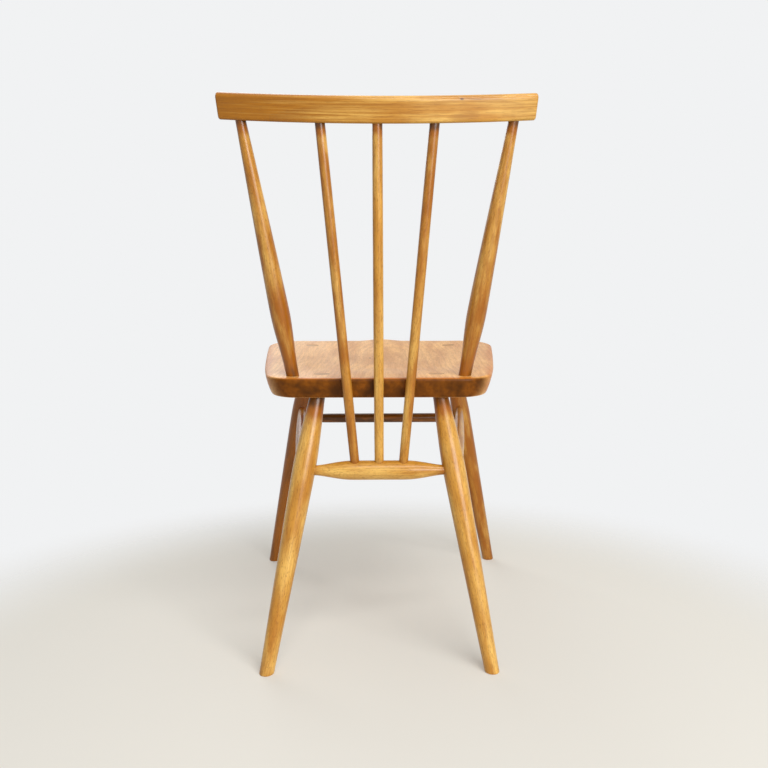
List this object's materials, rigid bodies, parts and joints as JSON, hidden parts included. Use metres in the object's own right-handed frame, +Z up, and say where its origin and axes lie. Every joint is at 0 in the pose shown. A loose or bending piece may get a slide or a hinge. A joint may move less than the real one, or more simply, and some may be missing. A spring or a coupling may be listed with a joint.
{
  "type": "wooden stick-back kitchen chair",
  "caption": "Stick-back kitchen chair in clear-finished wood: saddled seat on splayed turned legs, a bent crest rail on tapered posts and thin sticks that run down into the rear stretcher.",
  "frame": {"origin": "on the floor, at the middle of the chair's footprint box", "axes": "+Z up, the sitter faces -Y, +X is the sitter's left"},
  "size_m": [0.4382, 0.465, 0.7799],
  "materials": {
    "elm_seat": "satin clear lacquer over pinkish-tan elm, sculpted seat",
    "beech_crest": "satin clear lacquer over honey-coloured beech, grain along the rail",
    "beech_turned": "satin clear lacquer over honey-coloured turned beech, rubbed at the feet",
    "wedge_wood": "end grain, darker than its surroundings"
  },
  "bodies": {
    "root": {"seat": "elm_seat", "crest_rail": "beech_crest", "post_left": "beech_turned", "post_right": "beech_turned", "stick_left": "beech_turned", "stick_centre": "beech_turned", "stick_right": "beech_turned", "front_leg_left": "beech_turned", "front_leg_right": "beech_turned", "rear_leg_left": "beech_turned", "rear_leg_right": "beech_turned", "side_stretcher_left": "beech_turned", "side_stretcher_right": "beech_turned", "front_stretcher": "beech_turned", "rear_stretcher": "beech_turned", "front_leg_wedge_left": "wedge_wood", "front_leg_wedge_right": "wedge_wood", "rear_leg_wedge_left": "wedge_wood", "rear_leg_wedge_right": "wedge_wood", "post_wedge_left": "wedge_wood", "post_wedge_right": "wedge_wood"}
  },
  "joints": []
}
